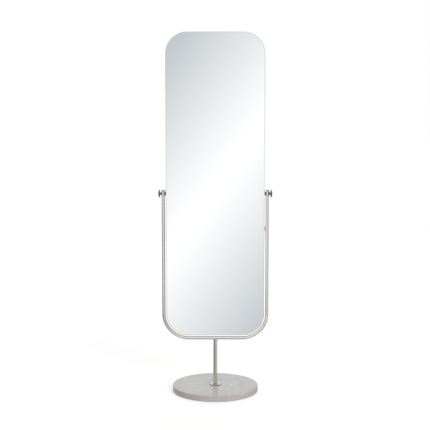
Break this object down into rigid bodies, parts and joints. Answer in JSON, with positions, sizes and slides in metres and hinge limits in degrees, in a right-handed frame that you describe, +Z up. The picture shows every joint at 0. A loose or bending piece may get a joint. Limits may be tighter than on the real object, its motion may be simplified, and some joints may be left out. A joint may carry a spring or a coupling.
{
  "type": "tilting floor mirror",
  "caption": "Tall round-cornered mirror in a thin metal frame, tilting between the arms of a bent tube yoke and held by side knobs, on a slim post with a round stone foot.",
  "frame": {"origin": "on the floor, under the middle of the post and the stone foot", "axes": "+Z up, the glass faces -Y, +X to the right as seen from in front of the glass"},
  "size_m": [0.4632, 0.35, 1.47],
  "materials": {
    "marble": "polished pale grey marble, faintly mottled",
    "felt": "dark pressed felt",
    "nickel": "satin nickel plate on steel tube",
    "dark_nickel": "dark satin nickel",
    "black_nylon": "matte moulded nylon",
    "white_nylon": "natural nylon",
    "grey_rubber": "matte grey rubber",
    "zinc_steel": "zinc-plated steel",
    "frame_aluminium": "satin anodised",
    "mirror_glass": "silvered float glass with polished edges",
    "film": "woven-backed plastic film",
    "foam": "white closed-cell foam",
    "board": "fibreboard with a black paper face"
  },
  "bodies": {
    "stand": {"base_pad": "felt", "base_disc": "marble", "base_washer": "zinc_steel", "base_lock_washer": "zinc_steel", "base_bolt": "zinc_steel", "base_flange": "nickel", "post_tube": "nickel", "post_foot_plug": "zinc_steel", "post_top_plug": "zinc_steel", "yoke_stud": "nickel", "yoke_tube": "nickel", "left_tube_cap": "dark_nickel", "right_tube_cap": "dark_nickel", "left_pivot_bush": "white_nylon", "right_pivot_bush": "white_nylon", "side_bumper": "grey_rubber"},
    "mirror": {"mirror_frame": "frame_aluminium", "mirror_glass": "mirror_glass", "safety_film": "film", "foam_sheet": "foam", "backing_board": "board", "left_pivot_block": "frame_aluminium", "right_pivot_block": "frame_aluminium", "pivot_block_screws": "zinc_steel", "spring_clips": "zinc_steel", "frame_splice": "zinc_steel", "splice_screws": "zinc_steel", "left_spacer": "black_nylon", "right_spacer": "black_nylon"},
    "left_washer": {"left_knob_washer": "black_nylon"},
    "left_knob": {"left_knob": "dark_nickel", "left_knob_stud": "zinc_steel", "left_knob_cap": "dark_nickel"},
    "right_washer": {"right_knob_washer": "black_nylon"},
    "right_knob": {"right_knob": "dark_nickel", "right_knob_stud": "zinc_steel", "right_knob_cap": "dark_nickel"}
  },
  "joints": [
    {"name": "mirror_tilt", "type": "hinge", "parent": "stand", "child": "mirror", "pos_m": [0, 0, 0.82], "axis": [1, 0, 0], "range_deg": [-175, 175]},
    {"name": "left_knob_travel", "type": "slide", "parent": "mirror", "child": "left_washer", "axis": [-1, 0, 0], "range_m": [0, 0.002]},
    {"name": "left_knob_turn", "type": "hinge", "parent": "left_washer", "child": "left_knob", "pos_m": [-0.2266, 0, 0.82], "axis": [-1, 0, 0], "range_deg": [0, 720]},
    {"name": "right_knob_travel", "type": "slide", "parent": "mirror", "child": "right_washer", "axis": [1, 0, 0], "range_m": [0, 0.002]},
    {"name": "right_knob_turn", "type": "hinge", "parent": "right_washer", "child": "right_knob", "pos_m": [0.2266, 0, 0.82], "axis": [1, 0, 0], "range_deg": [0, 720]}
  ],
  "couplings": [
    {"joint": "left_knob_travel", "follows": "left_knob_turn", "m_per_rad": 0.00015915},
    {"joint": "right_knob_travel", "follows": "right_knob_turn", "m_per_rad": 0.00015915}
  ]
}
